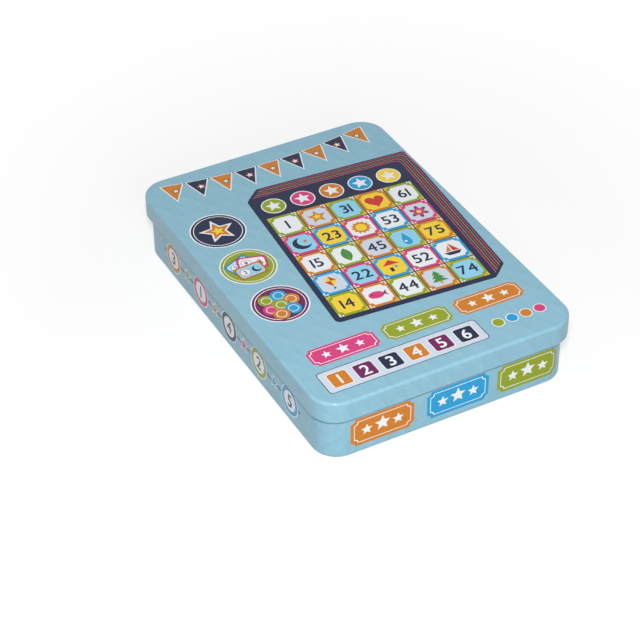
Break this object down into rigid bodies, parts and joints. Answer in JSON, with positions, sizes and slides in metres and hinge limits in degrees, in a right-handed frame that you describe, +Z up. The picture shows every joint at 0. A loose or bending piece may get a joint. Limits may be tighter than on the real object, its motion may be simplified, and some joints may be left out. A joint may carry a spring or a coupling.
{
  "type": "card game tin",
  "caption": "Flat rectangular game tin with round corners: overhanging lid hinged at one short side, printed outside, holding bingo boards, calling cards and chips.",
  "frame": {"origin": "middle of the tin's underside, on the surface that the tin stands on", "axes": "+X to the right along the tin's width, +Y along its length towards the hinged back short side, +Z up; the front short side, where the lid is lifted, faces -Y"},
  "size_m": [0.14, 0.203, 0.0355],
  "materials": {
    "printed_tinplate": "satin varnish over print",
    "hinge_tinplate": "bright stamped tinplate",
    "hinge_wire": "drawn wire",
    "laminated_board": "gloss laminate over print",
    "card_stock": "coated card, semi-gloss",
    "chip_green": "die-cut sheet",
    "chip_blue": "die-cut sheet",
    "chip_orange": "die-cut sheet",
    "chip_pink": "die-cut sheet"
  },
  "bodies": {
    "base": {"base_tray": "printed_tinplate", "base_hinge_leaf_left": "hinge_tinplate", "base_hinge_leaf_right": "hinge_tinplate", "hinge_pin_left": "hinge_wire", "hinge_pin_right": "hinge_wire", "board_1": "laminated_board", "board_2": "laminated_board", "board_3": "laminated_board", "board_4": "laminated_board", "board_5": "laminated_board", "board_6": "laminated_board", "calling_card_01": "card_stock", "calling_card_02": "card_stock", "calling_card_03": "card_stock", "calling_card_04": "card_stock", "calling_card_05": "card_stock", "calling_card_06": "card_stock", "calling_card_07": "card_stock", "calling_card_08": "card_stock", "calling_card_09": "card_stock", "calling_card_10": "card_stock", "calling_card_11": "card_stock", "calling_card_12": "card_stock", "calling_card_13": "card_stock", "calling_card_14": "card_stock", "calling_card_15": "card_stock", "calling_card_16": "card_stock", "calling_card_17": "card_stock", "calling_card_18": "card_stock", "calling_card_19": "card_stock", "calling_card_20": "card_stock", "calling_card_21": "card_stock", "calling_card_22": "card_stock", "calling_card_23": "card_stock", "calling_card_24": "card_stock", "chips_green": "chip_green", "chips_blue": "chip_blue", "chips_orange": "chip_orange", "chips_pink": "chip_pink"},
    "lid": {"lid": "printed_tinplate", "lid_hinge_leaf_left": "hinge_tinplate", "lid_hinge_leaf_right": "hinge_tinplate"}
  },
  "joints": [
    {"name": "lid_hinge", "type": "hinge", "parent": "base", "child": "lid", "pos_m": [0, 0.1001, 0.0246], "axis": [-1, 0, 0], "range_deg": [0, 115]}
  ]
}
